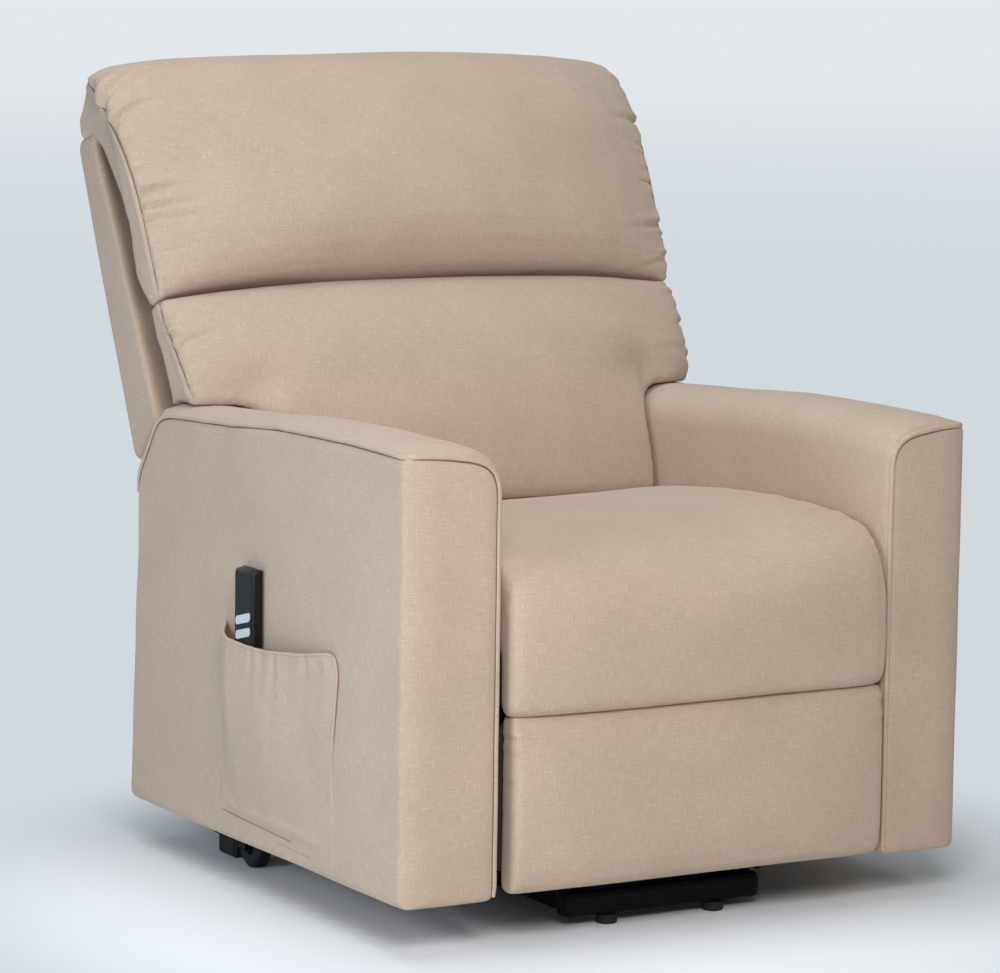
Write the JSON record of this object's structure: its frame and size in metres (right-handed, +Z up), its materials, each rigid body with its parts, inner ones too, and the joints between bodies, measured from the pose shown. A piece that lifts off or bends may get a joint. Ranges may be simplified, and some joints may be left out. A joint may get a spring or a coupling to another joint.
{
  "type": "power lift recliner",
  "caption": "Upholstered power lift recliner: padded arms, headrest and lumbar cushions, folding footrest, lifting floor base and a handset in a side pocket.",
  "frame": {"origin": "middle of the footprint's bounding box on the floor, at rest", "axes": "+Z up, the chair's front faces -Y, +X is the sitter's left; the side pocket is on -X"},
  "size_m": [0.8499, 1.0204, 1.0701],
  "materials": {
    "woven_fabric": "matte",
    "black_steel": "satin",
    "zinc_steel": "satin",
    "timber": "matte",
    "black_rubber": "matte",
    "black_plastic": "gloss",
    "grey_plastic": "satin"
  },
  "bodies": {
    "base": {"base_front_bar": "black_steel", "base_rear_bar": "black_steel", "base_rail_left": "black_steel", "base_rail_right": "black_steel", "front_foot_left": "black_rubber", "front_foot_right": "black_rubber", "rear_foot_left": "black_rubber", "rear_foot_right": "black_rubber", "caster_fork_left": "black_steel", "caster_fork_right": "black_steel"},
    "caster_left": {"caster_wheel_left": "black_rubber"},
    "caster_right": {"caster_wheel_right": "black_rubber"},
    "lift_arms": {"lift_arm_left": "black_steel", "lift_arm_right": "black_steel", "lift_torque_tube": "black_steel"},
    "lift_ties": {"lift_tie_left": "black_steel", "lift_tie_right": "black_steel"},
    "lift_actuator": {"lift_actuator": "black_plastic"},
    "lift_rod": {"lift_rod": "zinc_steel"},
    "chair": {"lift_hanger_left": "black_steel", "lift_hanger_right": "black_steel", "side_plate_left": "black_steel", "side_plate_right": "black_steel", "seat_rail_left": "timber", "seat_rail_right": "timber", "arm_left": "woven_fabric", "arm_right": "woven_fabric", "cross_tube_front": "black_steel", "cross_tube_rear": "black_steel", "seat_rail_front": "timber", "seat_rail_rear": "timber", "seat_spring_1": "zinc_steel", "seat_spring_2": "zinc_steel", "seat_spring_3": "zinc_steel", "seat_cushion": "woven_fabric", "side_pocket": "woven_fabric"},
    "backrest": {"back_shell": "woven_fabric", "headrest_cushion": "woven_fabric", "lumbar_cushion": "woven_fabric", "recline_cross_bar": "black_steel", "back_bracket_left": "black_steel", "back_bracket_right": "black_steel"},
    "push_rods": {"push_rod_left": "zinc_steel", "push_rod_right": "zinc_steel"},
    "recline_actuator": {"recline_actuator": "black_plastic"},
    "recline_rod": {"recline_rod": "zinc_steel"},
    "foot_rear_links": {"foot_rear_link_left": "zinc_steel", "foot_rear_link_right": "zinc_steel"},
    "foot_front_links": {"foot_front_link_left": "zinc_steel", "foot_front_link_right": "zinc_steel"},
    "foot_long_links": {"foot_long_link_left": "zinc_steel", "foot_long_link_right": "zinc_steel"},
    "footrest": {"foot_board": "timber", "foot_pad": "woven_fabric", "foot_bracket_left": "black_steel", "foot_bracket_right": "black_steel"},
    "handset": {"handset_case": "black_plastic"},
    "button_1": {"handset_button_1": "grey_plastic"},
    "button_2": {"handset_button_2": "grey_plastic"}
  },
  "joints": [
    {"name": "lift", "type": "hinge", "parent": "base", "child": "lift_arms", "pos_m": [0.011, -0.3577, 0.055], "axis": [1, 0, 0], "range_deg": [0, 40]},
    {"name": "chair_tilt", "type": "hinge", "parent": "lift_arms", "child": "chair", "pos_m": [0.011, 0.0623, 0.125], "axis": [1, 0, 0], "range_deg": [-15, 0]},
    {"name": "lift_tie", "type": "hinge", "parent": "base", "child": "lift_ties", "pos_m": [0.011, -0.4227, 0.06], "axis": [1, 0, 0], "range_deg": [0, 48.03]},
    {"name": "lift_actuator_swing", "type": "hinge", "parent": "base", "child": "lift_actuator", "pos_m": [0.011, 0.1123, 0.07], "axis": [1, 0, 0], "range_deg": [0, 3.55]},
    {"name": "lift_rod_slide", "type": "slide", "parent": "lift_actuator", "child": "lift_rod", "axis": [0, -0.9637, 0.267], "range_m": [0, 0.09072]},
    {"name": "recline", "type": "hinge", "parent": "chair", "child": "backrest", "pos_m": [0.011, 0.1473, 0.395], "axis": [-1, 0, 0], "range_deg": [0, 40]},
    {"name": "push_rod_pivot", "type": "hinge", "parent": "backrest", "child": "push_rods", "pos_m": [0.011, 0.1373, 0.295], "axis": [-1, 0, 0], "range_deg": [-42.81, 0]},
    {"name": "recline_actuator_swing", "type": "hinge", "parent": "chair", "child": "recline_actuator", "pos_m": [0.011, -0.1177, 0.195], "axis": [-1, 0, 0], "range_deg": [-16.95, 0]},
    {"name": "recline_rod_slide", "type": "slide", "parent": "recline_actuator", "child": "recline_rod", "axis": [0, 0.9699, 0.2434], "range_m": [-0.0646, 0]},
    {"name": "foot_rear_link", "type": "hinge", "parent": "chair", "child": "foot_rear_links", "pos_m": [0.011, -0.3627, 0.285], "axis": [-1, 0, 0], "range_deg": [0, 126.9]},
    {"name": "foot_front_link", "type": "hinge", "parent": "chair", "child": "foot_front_links", "pos_m": [0.011, -0.414, 0.2878], "axis": [-1, 0, 0], "range_deg": [0, 136.65]},
    {"name": "foot_long_link", "type": "hinge", "parent": "foot_rear_links", "child": "foot_long_links", "pos_m": [0.011, -0.1949, 0.1762], "axis": [-1, 0, 0], "range_deg": [-85.28, 0]},
    {"name": "footrest", "type": "hinge", "parent": "foot_long_links", "child": "footrest", "pos_m": [0.011, -0.4197, 0.185], "axis": [-1, 0, 0], "range_deg": [0, 44.38]},
    {"name": "handset_pull", "type": "slide", "parent": "chair", "child": "handset", "axis": [0, 0, 1], "range_m": [0, 0.2]},
    {"name": "button_1_press", "type": "slide", "parent": "handset", "child": "button_1", "axis": [1, 0, 0], "range_m": [0, 0.0012], "stiffness_N_per_m": 400},
    {"name": "button_2_press", "type": "slide", "parent": "handset", "child": "button_2", "axis": [1, 0, 0], "range_m": [0, 0.0012], "stiffness_N_per_m": 400},
    {"name": "caster_left_roll", "type": "hinge", "parent": "base", "child": "caster_left", "pos_m": [0.341, 0.0653, 0.03], "axis": [1, 0, 0], "continuous": true},
    {"name": "caster_right_roll", "type": "hinge", "parent": "base", "child": "caster_right", "pos_m": [-0.319, 0.0653, 0.03], "axis": [1, 0, 0], "continuous": true}
  ],
  "couplings": [
    {"joint": "chair_tilt", "follows": "lift", "ratio": -0.375},
    {"joint": "lift_tie", "follows": "lift", "ratio": 1.2008},
    {"joint": "lift_actuator_swing", "follows": "lift", "ratio": 0.088844},
    {"joint": "lift_rod_slide", "follows": "lift", "m_per_rad": 0.12994},
    {"joint": "push_rod_pivot", "follows": "recline", "ratio": -1.0702},
    {"joint": "recline_actuator_swing", "follows": "recline", "ratio": -0.42368},
    {"joint": "recline_rod_slide", "follows": "recline", "m_per_rad": -0.09253},
    {"joint": "foot_rear_link", "follows": "recline", "ratio": 3.1725},
    {"joint": "foot_front_link", "follows": "recline", "ratio": 3.4162},
    {"joint": "foot_long_link", "follows": "recline", "ratio": -2.132},
    {"joint": "footrest", "follows": "recline", "ratio": 1.1095}
  ]
}
